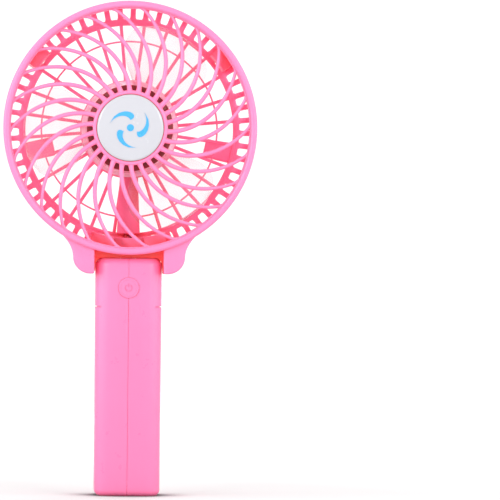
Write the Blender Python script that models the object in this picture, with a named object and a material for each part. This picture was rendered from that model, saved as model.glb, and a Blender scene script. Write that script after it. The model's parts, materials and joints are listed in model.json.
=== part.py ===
"""Handheld folding fan, built at real size in metres with +Z up.

The front of the fan faces -Y. The base of the handle is at z = 0. The head is the
root, the handle hangs from a hinge behind the head and folds up against its back.
Lengths in the tables and calls below are millimetres, and MM turns them into metres.
"""
import math

import bmesh
import bpy
from mathutils import Matrix, Vector

MM = 0.001
NAME = "handheld_fan"

# Head
HEAD_Z = 155.4            # height of the head's axis
HEAD_R = 53.5             # outside radius of the front band
FRONT_Y = -19.0           # front edge of the rim bead
SEAM_Y = -5.2             # back edge of the front shell
REAR_Y = 14.0             # flat back face
WALL = 1.6
FOOT_Z = -61.6            # bottom of the four feet, from the head's axis
FOOT_IN = 14.6            # inner face of every foot
FOOT_OUT = 24.4           # outer face of a front foot

# Front grille
RIBS = 26
RIB_W = 1.6
RIB_SWEEP = 33.7          # degrees between a rib's two ends
RIB_START = 8.5
HUB_R = 15.8
BADGE_R = 14.1

# Rear grille
SPOKES = 28
SPOKE_W = 1.4
SPOKE_START = 5.0
BARS = 56
SLOT_W = 3.7
BACK_HUB_R = 21.0         # solid middle of the rear grille
PLATE_R = 45.0
DUCT_W = (7.7, 9.7)       # width of the lead duct at the hub and at the rim
SCREW_R = 48.9
SCREW_ANGLES = (37.5, 142.5, 257.0, 283.0)
LUG_ANGLES = (-13.0, 193.0)

# Impeller and motor
BLADES = 3
TIP_R = 45.2
CUP_R = 18.7
MOTOR_R = 12.2

# Handle
HANDLE_TOP = 100.4
HANDLE_HALF = 14.0        # half width at the top
BASE_HALF = 13.85         # half width at the base
HANDLE_Y = (-15.0, 10.0)
END_EASE = (1.8, 3.0)     # rounding of the base's and the top's edges
PIVOT_Y = 12.3
PIVOT_Z = 97.4
COVER_TOP = 79.9
COVER_Y = 3.0
BUTTON_Z = 87.9
CELL_R = 9.2
CELL_Y = -2.5

COLOURS = {
    "pink_plastic": ((1.0, 0.28, 0.58, 1.0), 0.36, 0.0),
    "white_plastic": ((0.82, 0.84, 0.87, 1.0), 0.3, 0.0),
    "clear_plastic": ((0.86, 0.88, 0.9, 0.5), 0.2, 0.0),
    "steel": ((0.6, 0.61, 0.62, 1.0), 0.3, 1.0),
    "zinc_steel": ((0.7, 0.71, 0.73, 1.0), 0.25, 1.0),
    "black_magnet": ((0.05, 0.05, 0.055, 1.0), 0.6, 0.0),
    "black_plastic": ((0.03, 0.03, 0.033, 1.0), 0.45, 0.0),
    "copper": ((0.72, 0.35, 0.18, 1.0), 0.35, 1.0),
    "red_insulation": ((0.7, 0.03, 0.03, 1.0), 0.45, 0.0),
    "black_insulation": ((0.02, 0.02, 0.02, 1.0), 0.45, 0.0),
    "board_green": ((0.02, 0.2, 0.09, 1.0), 0.4, 0.0),
    "cell_wrap": ((0.05, 0.25, 0.6, 1.0), 0.4, 0.0),
    "frosted_plastic": ((1.0, 0.5, 0.75, 1.0), 0.3, 0.0),
    "led_clear": ((0.9, 0.9, 0.75, 1.0), 0.2, 0.0),
}


def clear_scene():
    for obj in list(bpy.data.objects):
        bpy.data.objects.remove(obj, do_unlink=True)


def new_collection(name):
    collection = bpy.data.collections.new(name)
    bpy.context.scene.collection.children.link(collection)
    return collection


clear_scene()
PARTS = new_collection(NAME)
CUTTERS = new_collection("cutters")


def material(name):
    found = bpy.data.materials.get(name)
    if found:
        return found
    colour, roughness, metallic = COLOURS[name]
    mat = bpy.data.materials.new(name)
    mat.use_nodes = True
    shader = mat.node_tree.nodes["Principled BSDF"]
    shader.inputs["Base Color"].default_value = colour
    shader.inputs["Roughness"].default_value = roughness
    shader.inputs["Metallic"].default_value = metallic
    mat.diffuse_color = colour
    return mat


# ---------------------------------------------------------------- basic shapes

def mesh_from(bm, name="shape"):
    """Weld, turn the faces outward and hand back a mesh in metres."""
    bmesh.ops.remove_doubles(bm, verts=bm.verts, dist=0.00001)
    bmesh.ops.recalc_face_normals(bm, faces=bm.faces)
    mesh = bpy.data.meshes.new(name)
    bm.to_mesh(mesh)
    bm.free()
    return mesh


def circle_points(radius, count, centre=(0.0, 0.0), start=0.0):
    step = 360.0 / count
    return [polar(radius, start + i * step, centre) for i in range(count)]


def polar(radius, degrees, centre=(0.0, 0.0)):
    angle = math.radians(degrees)
    return (centre[0] + radius * math.cos(angle), centre[1] + radius * math.sin(angle))


PLANES = {
    "XY": Matrix.Identity(4),
    "XZ": Matrix.Rotation(math.pi / 2, 4, "X"),
    "YZ": Matrix(((0, 0, 1, 0), (1, 0, 0, 0), (0, 1, 0, 0), (0, 0, 0, 1))),
}


def plate(loops, low, high, plane="XZ"):
    """Fill a flat outline with its holes, and give it thickness from low to high."""
    curve = bpy.data.curves.new("outline", "CURVE")
    curve.dimensions = "2D"
    curve.fill_mode = "BOTH"
    curve.extrude = (high - low) / 2 * MM
    for loop in loops:
        spline = curve.splines.new("POLY")
        spline.points.add(len(loop) - 1)
        for point, (a, b) in zip(spline.points, loop):
            point.co = (a * MM, b * MM, 0.0, 1.0)
        spline.use_cyclic_u = True
    holder = bpy.data.objects.new("outline", curve)
    bpy.context.scene.collection.objects.link(holder)
    graph = bpy.context.evaluated_depsgraph_get()
    mesh = bpy.data.meshes.new_from_object(holder.evaluated_get(graph))
    bpy.data.objects.remove(holder, do_unlink=True)
    middle = (low + high) / 2 * MM
    shift = {"XY": (0, 0, middle), "XZ": (0, middle, 0), "YZ": (middle, 0, 0)}[plane]
    mesh.transform(Matrix.Translation(shift) @ PLANES[plane])
    bm = bmesh.new()
    bm.from_mesh(mesh)
    bpy.data.meshes.remove(mesh)
    return mesh_from(bm)


def lathe(profile, segments=64, turn=0.0):
    """Turn a closed (radius, y) profile about the Y axis."""
    bm = bmesh.new()
    verts = [bm.verts.new((r * MM, 0.0, y * MM)) for r, y in profile]
    edges = [bm.edges.new((verts[i], verts[(i + 1) % len(verts)])) for i in range(len(verts))]
    on_axis = [e for e in edges if all(v.co.x < 1e-9 for v in e.verts)]
    bmesh.ops.delete(bm, geom=on_axis, context="EDGES")
    bmesh.ops.rotate(bm, verts=bm.verts, cent=(0, 0, 0),
                     matrix=Matrix.Rotation(math.radians(turn), 3, "Z"))
    bmesh.ops.spin(bm, geom=bm.verts[:] + bm.edges[:], cent=(0, 0, 0), axis=(0, 0, 1),
                   angle=2 * math.pi, steps=segments)
    bmesh.ops.rotate(bm, verts=bm.verts, cent=(0, 0, 0),
                     matrix=Matrix.Rotation(-math.pi / 2, 3, "X"))
    return mesh_from(bm)


def rod(radius, low, high, axis="Y", segments=24, centre=(0.0, 0.0)):
    """A round bar along X, Y or Z; centre gives its other two coordinates in order."""
    bm = bmesh.new()
    bmesh.ops.create_cone(bm, cap_ends=True, segments=segments, radius1=radius * MM,
                          radius2=radius * MM, depth=(high - low) * MM)
    middle = (low + high) / 2
    if axis == "X":
        bmesh.ops.rotate(bm, verts=bm.verts, matrix=Matrix.Rotation(math.pi / 2, 3, "Y"))
        place = (middle, centre[0], centre[1])
    elif axis == "Y":
        bmesh.ops.rotate(bm, verts=bm.verts, matrix=Matrix.Rotation(math.pi / 2, 3, "X"))
        place = (centre[0], middle, centre[1])
    else:
        place = (centre[0], centre[1], middle)
    bmesh.ops.translate(bm, verts=bm.verts, vec=Vector(place) * MM)
    return mesh_from(bm)


def block(low, high, bevel=0.0):
    """A box between two corners, with its edges cut back by bevel."""
    bm = bmesh.new()
    bmesh.ops.create_cube(bm, size=1.0)
    size = [b - a for a, b in zip(low, high)]
    middle = [(a + b) / 2 for a, b in zip(low, high)]
    bmesh.ops.scale(bm, verts=bm.verts, vec=Vector(size) * MM)
    bmesh.ops.translate(bm, verts=bm.verts, vec=Vector(middle) * MM)
    if bevel:
        bmesh.ops.bevel(bm, geom=bm.edges[:], offset=bevel * MM, segments=1, affect="EDGES")
    return mesh_from(bm)


def wire(points, radius, resolution=2):
    """A round wire through the points, with closed ends."""
    curve = bpy.data.curves.new("wire", "CURVE")
    curve.dimensions = "3D"
    curve.bevel_depth = radius * MM
    curve.bevel_resolution = resolution
    curve.use_fill_caps = True
    spline = curve.splines.new("POLY")
    spline.points.add(len(points) - 1)
    for point, place in zip(spline.points, points):
        point.co = (place[0] * MM, place[1] * MM, place[2] * MM, 1.0)
    holder = bpy.data.objects.new("wire", curve)
    bpy.context.scene.collection.objects.link(holder)
    graph = bpy.context.evaluated_depsgraph_get()
    mesh = bpy.data.meshes.new_from_object(holder.evaluated_get(graph))
    bpy.data.objects.remove(holder, do_unlink=True)
    bm = bmesh.new()
    bm.from_mesh(mesh)
    bpy.data.meshes.remove(mesh)
    return mesh_from(bm)


# ------------------------------------------------------------------ assembling

def empty(name, x, y, z, parent=None):
    obj = bpy.data.objects.new(name, None)
    obj.empty_display_size = 0.01
    obj.location = Vector((x, y, z)) * MM
    if parent:
        obj.parent = parent
        obj.location -= parent_origin(parent)
    PARTS.objects.link(obj)
    return obj


def parent_origin(obj):
    """World position of an object whose whole chain of parents is only moved."""
    place = obj.location.copy()
    if obj.parent:
        place += parent_origin(obj.parent)
    return place


def helper(name, mesh, parent):
    """A hidden shape that a boolean adds or takes away."""
    obj = bpy.data.objects.new(name, mesh)
    obj.parent = parent
    obj.hide_render = True
    obj.display_type = "WIRE"
    CUTTERS.objects.link(obj)
    return obj


def node(name, mesh, slot, parent, steps=(), smooth=35.0):
    """One named piece. Steps are (operation, mesh) pairs in the piece's own frame."""
    mesh.name = name
    mesh.materials.append(material(slot))
    mesh.shade_smooth()
    mesh.set_sharp_from_angle(angle=math.radians(smooth))
    obj = bpy.data.objects.new(name, mesh)
    obj.parent = parent
    PARTS.objects.link(obj)
    for number, (operation, shape) in enumerate(steps):
        tool = helper(f"{name}_{operation.lower()}_{number}", shape, parent)
        step = obj.modifiers.new(f"{operation.lower()}_{number}", "BOOLEAN")
        step.operation = operation
        step.solver = "EXACT"
        step.object = tool
    return obj


def moved(mesh, x=0.0, y=0.0, z=0.0):
    mesh.transform(Matrix.Translation(Vector((x, y, z)) * MM))
    return mesh


def joined(meshes):
    """Several separate shapes as one cutter."""
    bm = bmesh.new()
    for mesh in meshes:
        bm.from_mesh(mesh)
        bpy.data.meshes.remove(mesh)
    return mesh_from(bm)


# ------------------------------------------------------------------------ head

def arc(radius, start, end, count, centre=(0.0, 0.0)):
    step = (end - start) / count
    return [polar(radius, start + i * step, centre) for i in range(count + 1)]


def front_foot(side):
    """Outline of a front foot, flaring into the rim."""
    start = Vector(polar(HEAD_R - 0.8, -51.7))
    control = Vector((FOOT_OUT, -47.5))
    end = Vector((FOOT_OUT, -56.2))
    flare = []
    for i in range(7):
        t = i / 6
        flare.append(tuple(start * (1 - t) ** 2 + control * 2 * t * (1 - t) + end * t * t))
    corner = arc(4.8, 0.0, -90.0, 5, (FOOT_OUT - 4.8, FOOT_Z + 4.8))
    inner = [(FOOT_IN + 0.8, FOOT_Z), (FOOT_IN, FOOT_Z + 0.8)]
    back = [polar(HEAD_R - 1.1, a) for a in (-73.8, -68.0, -62.0, -56.0)]
    return [(side * x, z) for x, z in flare + corner + inner + back]


def make_front_shell(parent):
    rim = [(51.0, -18.3), (51.4, -18.8), (52.2, FRONT_Y), (53.0, -18.7), (53.4, -18.0),
           (HEAD_R, -17.2), (HEAD_R, SEAM_Y), (51.6, SEAM_Y), (51.6, -17.4), (51.0, -17.4)]
    steps = []
    for side in (-1, 1):
        steps.append(("UNION", plate([front_foot(side)], -16.8, SEAM_Y)))
    for angle in SCREW_ANGLES:
        steps.append(("UNION", rod(2.8, -8.4, SEAM_Y, "Y", 16, polar(SCREW_R, angle))))
    bores = [rod(1.5, -7.9, SEAM_Y + 1, "Y", 12, polar(SCREW_R, a)) for a in SCREW_ANGLES]
    steps.append(("DIFFERENCE", joined(bores)))
    node("front_shell", lathe(rim, 72), "pink_plastic", parent, steps)


def rib_angle(radius):
    t = max(0.0, (radius - 16.0) / 34.1)
    return RIB_START + RIB_SWEEP * t ** 1.3


def rib_edge(radius, rib, side):
    """Angle of one side of a rib, whose width falls towards the rim."""
    slope = math.radians((rib_angle(radius + 0.5) - rib_angle(radius - 0.5))) * radius
    width = RIB_W * (1.0 if radius < 42 else 1.0 - 0.45 * (radius - 42) / 8.4)
    half = math.degrees(width / 2 * math.hypot(1.0, slope) / radius)
    return rib_angle(radius) + rib * 360.0 / RIBS + side * half


def swirl_gap(rib):
    """Outline of the gap between one rib and the next."""
    radii = [HUB_R + (50.3 - HUB_R) * i / 5 for i in range(6)]
    out = [polar(r, rib_edge(r, rib, 1)) for r in radii]
    back = [polar(r, rib_edge(r, rib + 1, -1)) for r in reversed(radii)]
    rim = polar(50.3, (rib_edge(50.3, rib, 1) + rib_edge(50.3, rib + 1, -1)) / 2)
    return out + [rim] + back


def make_front_grille(parent):
    loops = [circle_points(51.3, 72)] + [swirl_gap(i) for i in range(RIBS)]
    pocket = rod(BADGE_R + 0.3, -18.0, -15.3, "Y", 48)
    node("front_grille", plate(loops, -17.1, -12.1), "pink_plastic", parent,
         [("DIFFERENCE", pocket)])
    badge = [(0, -17.4), (13.7, -17.4), (BADGE_R, -17.0), (BADGE_R, -15.6), (0, -15.6)]
    node("badge_disc", lathe(badge, 48), "white_plastic", parent)


def near(angle, targets, reach):
    return any(abs((angle - t + 180) % 360 - 180) < reach for t in targets)


def sector(r_low, r_high, middle, half, count):
    outer = [polar(r_high, middle - half + 2 * half * i / count) for i in range(count + 1)]
    inner = [polar(r_low, middle + half - 2 * half * i / count) for i in range(count + 1)]
    return outer + inner


def slot_cutter(angle):
    """Box that opens one slot round the curved back corner."""
    mesh = block((46.9, -1.5, -SLOT_W / 2), (58.0, 18.0, SLOT_W / 2))
    mesh.transform(Matrix.Rotation(-math.radians(angle), 4, "Y"))
    return mesh


def rear_foot(side):
    """Thin foot that carries the hinge pin, rounded about the pin."""
    pin = (PIVOT_Y, PIVOT_Z - HEAD_Z)
    tip = arc(3.6, 20.0, -90.0, 5, pin)
    outline = [(-1.0, -51.4), (-1.0, -60.6), (0.0, FOOT_Z)] + tip[::-1]
    outline += [(REAR_Y + 0.2, -51.0), (REAR_Y + 0.2, -49.4), (12.0, -47.9), (-1.0, -47.9)]
    low, high = sorted((side * FOOT_IN, side * (FOOT_IN + 3.6)))
    return plate([outline], low, high, "YZ")


def make_rear_shell(parent):
    outer = [polar(6.5, a, (46.8, 7.5)) for a in (0, 22.5, 45, 67.5, 90)]
    inner = [polar(6.5 - WALL, a, (46.8, 7.5)) for a in (90, 45, 0)]
    profile = [(53.3, SEAM_Y + 0.4)] + outer + [(45.3, REAR_Y), (45.3, REAR_Y - WALL)]
    profile += inner + [(53.3 - WALL, SEAM_Y + 0.4)]
    keep = [(270.0, 23.0)] + [(a, 7.0) for a in SCREW_ANGLES[:2]]
    pitch = 360.0 / BARS
    slots = []
    for i in range(BARS):
        angle = SPOKE_START + pitch * (i + 0.5)
        if not any(near(angle, [a], reach) for a, reach in keep):
            slots.append(slot_cutter(angle))
    steps = [("DIFFERENCE", joined(slots))]
    base = sector(46.4, 52.6, 270.0, 19.4, 12)
    steps.append(("UNION", plate([base], SEAM_Y + 0.5, REAR_Y + 0.1)))
    for angle in SCREW_ANGLES[:2]:
        pad = sector(46.4, 52.4, angle, 5.8, 4)
        steps.append(("UNION", plate([pad], SEAM_Y + 0.5, REAR_Y + 0.4)))
    for side in (-1, 1):
        steps.append(("UNION", rear_foot(side)))
    holes = [rod(1.6, -8.0, 12.0, "Y", 12, polar(SCREW_R, a)) for a in SCREW_ANGLES]
    seats = [rod(2.7, 11.2, 16.0, "Y", 16, polar(SCREW_R, a)) for a in SCREW_ANGLES]
    pins = (PIVOT_Y, PIVOT_Z - HEAD_Z)
    bores = [rod(1.56, 13.0, 17.7, "X", 24, pins), rod(1.56, -17.7, -13.0, "X", 24, pins)]
    channel = block((-2.6, 9.9, -60.0), (2.6, 12.6, -40.0))
    steps.append(("DIFFERENCE", joined(seats + bores)))
    steps.append(("DIFFERENCE", joined(holes + [channel])))
    node("rear_shell", lathe(profile, 84, 1.2), "pink_plastic", parent, steps)


def duct_half(radius):
    low, high = DUCT_W
    return (low + (high - low) * (radius - 20.0) / 24.0) / 2


def spoke_gap(index, r_low, r_high):
    """Outline of the gap between two spokes, kept off the lead duct."""
    pitch = 360.0 / SPOKES
    first = SPOKE_START + index * pitch
    forward = []
    backward = []
    for r in (r_low, r_high):
        half = math.degrees(math.asin(SPOKE_W / 2 / r))
        duct = math.degrees(math.asin(duct_half(r) / r))
        start = first + half
        end = first + pitch - half
        if 270 <= first + pitch / 2 < 290:
            start = max(start, 270 + duct)
        if 250 < first + pitch / 2 < 270:
            end = min(end, 270 - duct)
        forward.append(polar(r, start))
        backward.append(polar(r, end))
    middle = (first + pitch / 2)
    top = polar(r_high, middle)
    return forward + [top] + backward[::-1] + [polar(r_low, middle)]


def lug(angle):
    """Post on the back face."""
    mesh = block((33.0, 12.6, -4.0), (44.6, 19.0, 4.0), 0.8)
    mesh.transform(Matrix.Rotation(-math.radians(angle), 4, "Y"))
    return mesh


def make_rear_grille(parent):
    loops = [circle_points(PLATE_R, 72)]
    skip = math.floor((268.0 - SPOKE_START) / (360.0 / SPOKES))
    for index in range(SPOKES):
        if index == skip:
            continue
        middle = SPOKE_START + (index + 0.5) * 360.0 / SPOKES
        if not near(middle, LUG_ANGLES, 7.0):
            loops.append(spoke_gap(index, BACK_HUB_R, 37.1))
            loops.append(spoke_gap(index, 37.9, 43.7))
        else:
            loops.append(spoke_gap(index, BACK_HUB_R, 32.2))
    seat = lathe([(12.5, 6.0), (14.1, 6.0), (14.1, 12.6), (12.5, 12.6)], 48)
    duct = [(-duct_half(13.6), -13.6), (-duct_half(44.4), -44.6),
            (duct_half(44.4), -44.6), (duct_half(13.6), -13.6)]
    steps = [("UNION", seat), ("UNION", plate([duct], 8.4, 12.8))]
    steps += [("UNION", lug(a)) for a in LUG_ANGLES]
    steps.append(("DIFFERENCE", block((-2.6, 9.9, -48.0), (2.6, 12.6, -11.6))))
    node("rear_grille", plate(loops, 12.3, REAR_Y), "pink_plastic", parent, steps)


def make_shell_screws(parent):
    for number, angle in enumerate(SCREW_ANGLES, 1):
        profile = [(0, 13.1), (0, 12.2), (1.1, 12.6), (1.1, 13.1), (2.2, 13.0), (2.4, 12.4),
                   (2.4, 11.5), (1.35, 11.5), (1.35, -6.8), (0, -7.4)]
        x, z = polar(SCREW_R, angle)
        node(f"shell_screw_{number}", moved(lathe(profile[1:], 16), x, 0, z),
             "zinc_steel", parent)


def make_motor(head, rotor):
    can = [(1.3, -3.3), (3.2, -3.3), (3.2, -1.8), (MOTOR_R, -1.8), (MOTOR_R, 10.5),
           (MOTOR_R - 0.8, 10.5), (MOTOR_R - 0.8, -1.0), (1.3, -1.0)]
    node("motor_can", lathe(can, 32), "zinc_steel", head)
    magnet = [(9.6, -0.6), (11.2, -0.6), (11.2, 7.8), (9.6, 7.8)]
    node("motor_magnet_ring", lathe(magnet, 32), "black_magnet", head)
    cap = [(1.1, 9.0), (11.2, 9.0), (11.2, 10.3), (1.1, 10.3)]
    node("motor_end_cap", lathe(cap, 32), "white_plastic", head)
    armature = [(1.05, 0.0), (9.2, 0.0), (9.2, 6.8), (3.0, 6.8), (3.0, 8.7), (1.05, 8.7)]
    node("armature", lathe(armature, 32), "copper", rotor)
    node("motor_shaft", rod(1.0, -9.2, 10.1, "Y", 16), "steel", rotor)


def blade(angle):
    """Wide twisted blade; its low-angle edge is at the back and leads."""
    bm = bmesh.new()
    bmesh.ops.create_grid(bm, x_segments=6, y_segments=6, size=0.5)
    for vert in bm.verts:
        u = vert.co.x + 0.5
        v = vert.co.y + 0.5
        root = CUP_R - 0.7
        radius = root + (TIP_R - root) * u
        half = 26.0 + 7.0 * math.sin(math.pi * min(1.0, u * 1.05)) - 5.0 * u ** 6
        turn = angle + half * (2 * v - 1) + 4.0 * u
        rise = (14.4 - 5.4 * u) * (0.5 - v) + 1.6 * math.sin(math.pi * v)
        x, z = polar(radius, turn)
        vert.co = Vector((x, rise - 1.2, z)) * MM
    doubled = bmesh.ops.extrude_face_region(bm, geom=bm.faces[:])["geom"]
    back = [item for item in doubled if isinstance(item, bmesh.types.BMVert)]
    bmesh.ops.translate(bm, verts=back, vec=(0.0, 1.4 * MM, 0.0))
    return mesh_from(bm)


def make_impeller(rotor):
    cup = [(1.03, -10.2), (15.7, -10.2), (17.7, -9.6), (CUP_R, -8.0), (CUP_R, 8.0),
           (CUP_R - 1.4, 8.0), (CUP_R - 1.4, -8.0), (16.1, -8.6), (3.4, -8.6), (3.4, -3.8),
           (1.03, -3.8)]
    steps = [("UNION", blade(60 + 120 * i)) for i in range(BLADES)]
    node("impeller", lathe(cup, 48), "clear_plastic", rotor, steps)


def make_head_leads(parent):
    for side, colour in ((-1, "red"), (1, "black")):
        x = side * 1.2
        path = [(x * 2.4, 11.25, -8.0), (x, 11.25, -12.0), (x, 11.25, -44.0), (x, 11.25, -54.2)]
        node(f"head_lead_{colour}", wire(path, 0.6), f"{colour}_insulation", parent)


def make_pins(parent):
    for side, label in ((-1, "left"), (1, "right")):
        low, high = sorted((side * 9.0, side * 17.4))
        pin = rod(1.5, low, high, "X", 24, (PIVOT_Y, PIVOT_Z - HEAD_Z))
        node(f"pivot_pin_{label}", pin, "steel", parent)


# ---------------------------------------------------------------------- handle

def handle_outline(inset):
    """Section of the handle: bowed front, rounded corners, flat back."""
    half = HANDLE_HALF - inset
    front = HANDLE_Y[0] + inset
    back = HANDLE_Y[1] - inset
    big = 6.0 - inset
    small = 3.6 - inset
    points = [(0.0, front), (half - big - 1.0, front + 0.35)]
    points += arc(big, -72.0, 0.0, 5, (half - big, front + big + 0.3))
    points += arc(small, 0.0, 90.0, 4, (half - small, back - small))
    mirror = [(-x, y) for x, y in reversed(points) if x > 0]
    return points + mirror


def tapered(outline, low, high, ease=(0.0, 0.0)):
    """Stand the section up from low to high, narrower at the base, ends rounded by ease."""
    bm = bmesh.new()
    base = bm.faces.new([bm.verts.new((x * MM, y * MM, low * MM)) for x, y in outline])
    raised = bmesh.ops.extrude_face_region(bm, geom=[base])["geom"]
    top = [item for item in raised if isinstance(item, bmesh.types.BMVert)]
    bmesh.ops.translate(bm, verts=top, vec=(0.0, 0.0, (high - low) * MM))
    for vert in bm.verts:
        share = vert.co.z / MM / HANDLE_TOP
        vert.co.x *= (BASE_HALF + (HANDLE_HALF - BASE_HALF) * share) / HANDLE_HALF
    bmesh.ops.recalc_face_normals(bm, faces=bm.faces)
    for level, radius in zip((low, high), ease):
        if radius:
            ends = [e for e in bm.edges if all(abs(v.co.z - level * MM) < 1e-7 for v in e.verts)]
            bmesh.ops.bevel(bm, geom=ends, offset=radius * MM, segments=3, profile=0.5,
                            affect="EDGES")
    return mesh_from(bm)


def half_shell(side, label, parent):
    """One half of the handle, with its knuckle, open at the back for the cover."""
    outer = tapered(handle_outline(0.0), 0.0, HANDLE_TOP, END_EASE)
    near_x, far_x = sorted((side * 0.1, side * 40.0))
    steps = [("INTERSECT", block((near_x, -40.0, -5.0), (far_x, 40.0, 120.0)))]
    low, high = sorted((side * 3.2, side * 13.8))
    steps.append(("UNION", block((low, 8.6, PIVOT_Z - 3.1), (high, PIVOT_Y, PIVOT_Z + 2.8))))
    steps.append(("UNION", rod(3.3, low, high, "X", 24, (PIVOT_Y, PIVOT_Z))))
    inner = tapered(handle_outline(WALL), 1.8, HANDLE_TOP - 1.8)
    steps.append(("DIFFERENCE", inner))
    steps.append(("DIFFERENCE", block((-20.0, COVER_Y, -5.0), (20.0, 20.0, COVER_TOP))))
    holes = [rod(4.7, -20.0, -12.0, "Y", 24, (0.0, BUTTON_Z)),
             block((-4.1, 7.0, BUTTON_Z + 0.3), (4.1, 12.0, BUTTON_Z + 3.7)),
             block((-2.6, 4.0, HANDLE_TOP - 3.0), (2.6, 8.0, HANDLE_TOP + 1.0))]
    steps.append(("DIFFERENCE", joined(holes)))
    low, high = sorted((side * 8.7, side * 15.0))
    steps.append(("DIFFERENCE", rod(1.56, low, high, "X", 24, (PIVOT_Y, PIVOT_Z))))
    obj = node(f"handle_shell_{label}", outer, "pink_plastic", parent, steps)
    shift_to_parent(obj, parent)


def shift_to_parent(obj, parent):
    """Move the mesh, and its tools, so the object's origin sits at its parent."""
    away = Matrix.Translation(-parent_origin(parent))
    shapes = [obj.data] + [m.object.data for m in obj.modifiers if m.type == "BOOLEAN"]
    for mesh in shapes:
        mesh.transform(away)


def handle_node(name, mesh, slot, parent, steps=()):
    obj = node(name, mesh, slot, parent, steps)
    shift_to_parent(obj, parent)


def make_cover(parent):
    outer = tapered(handle_outline(0.0), 0.0, HANDLE_TOP, END_EASE)
    steps = [("INTERSECT", block((-30.0, COVER_Y + 0.3, -5.0), (30.0, 20.0, COVER_TOP - 0.3))),
             ("DIFFERENCE", tapered(handle_outline(WALL), 1.8, HANDLE_TOP))]
    handle_node("battery_cover", outer, "pink_plastic", parent, steps)


def make_button(handle, button):
    ring = [(3.5, -15.2), (4.2, -15.2), (4.4, -15.0), (4.4, -12.0), (3.5, -12.0)]
    handle_node("button_ring", moved(lathe(ring, 32), z=BUTTON_Z), "frosted_plastic", handle)
    cap = [(0, -15.3), (2.7, -15.3), (3.2, -15.0), (3.2, -11.7), (4.3, -11.7), (4.3, -10.7),
           (2.0, -10.7), (2.0, -4.9), (0, -4.9)]
    handle_node("power_button", moved(lathe(cap, 32), z=BUTTON_Z), "pink_plastic", button)
    handle_node("switch_plunger", rod(1.6, -4.6, -2.1, "Y", 20, (0, BUTTON_Z)),
                "black_plastic", button)


def make_board(parent):
    board = block((-10.0, 0.3, BUTTON_Z - 12.5), (10.0, 1.7, BUTTON_Z + 8.5))
    handle_node("circuit_board", board, "board_green", parent)
    body = block((-3.0, -3.5, BUTTON_Z - 3), (3.0, 0.0, BUTTON_Z + 3), 0.3)
    well = rod(1.9, -5.0, -1.3, "Y", 20, (0, BUTTON_Z))
    handle_node("tact_switch", body, "black_plastic", parent, [("DIFFERENCE", well)])
    handle_node("status_led", block((4.0, -0.8, BUTTON_Z - 0.6), (5.6, 0.0, BUTTON_Z + 0.6), 0.1),
                "led_clear", parent)
    socket = block((-3.8, 2.0, BUTTON_Z + 0.6), (3.8, 9.7, BUTTON_Z + 3.4), 0.4)
    mouth = block((-3.4, 3.5, BUTTON_Z + 1.0), (3.4, 12.0, BUTTON_Z + 3.0))
    handle_node("usb_socket", socket, "zinc_steel", parent, [("DIFFERENCE", mouth)])


def make_handle_leads(parent):
    for side, colour in ((-1, "red"), (1, "black")):
        x = side * 1.2
        path = [(x, 6.0, HANDLE_TOP - 0.3), (x, 6.0, HANDLE_TOP - 2.9),
                (x * 1.6, 2.7, HANDLE_TOP - 5.1), (x * 1.6, 2.7, HANDLE_TOP - 7.1)]
        handle_node(f"handle_lead_{colour}", wire(path, 0.6), f"{colour}_insulation", parent)


def make_battery(parent):
    cell = [(0, 7.2), (8.7, 7.2), (CELL_R, 7.7), (CELL_R, 71.2), (8.7, 71.7), (3.2, 71.7),
            (3.2, 72.4), (0, 72.4)]
    mesh = lathe(cell, 32)
    mesh.transform(Matrix.Rotation(math.pi / 2, 4, "X"))
    handle_node("battery_cell", moved(mesh, y=CELL_Y), "cell_wrap", parent)
    contact = block((-5.0, CELL_Y - 3.5, 72.7), (5.0, CELL_Y + 3.5, 73.3))
    handle_node("battery_contact", contact, "zinc_steel", parent)
    coil = []
    for i in range(37):
        x, y = polar(4.6 - 1.4 * i / 36, i * 30.0)
        coil.append((x, CELL_Y + y, 2.6 + 3.8 * i / 36))
    handle_node("battery_spring", wire(coil, 0.4), "steel", parent)


def build():
    head = empty("head", 0, 0, HEAD_Z)
    rotor = empty("rotor_axis", 0, 0, HEAD_Z, head)
    handle = empty("handle_pivot", 0, PIVOT_Y, PIVOT_Z, head)
    button = empty("button_axis", 0, HANDLE_Y[0], BUTTON_Z, handle)
    cover = empty("cover_origin", 0, HANDLE_Y[1], COVER_TOP / 2, handle)
    make_front_shell(head)
    make_front_grille(head)
    make_rear_shell(head)
    make_rear_grille(head)
    make_shell_screws(head)
    make_motor(head, rotor)
    make_impeller(rotor)
    make_head_leads(head)
    make_pins(head)
    half_shell(-1, "left", handle)
    half_shell(1, "right", handle)
    make_cover(cover)
    make_button(handle, button)
    make_board(handle)
    make_handle_leads(handle)
    make_battery(handle)


build()
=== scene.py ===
"""Looks of the handheld folding fan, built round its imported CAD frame.

Lengths in the calls below are millimetres and MM turns them into metres. The head's
shapes are worked out about its own axis, which runs along Y through HEAD.
"""
import json
import math

import bmesh
import bpy
from mathutils import Matrix, Vector


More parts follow.
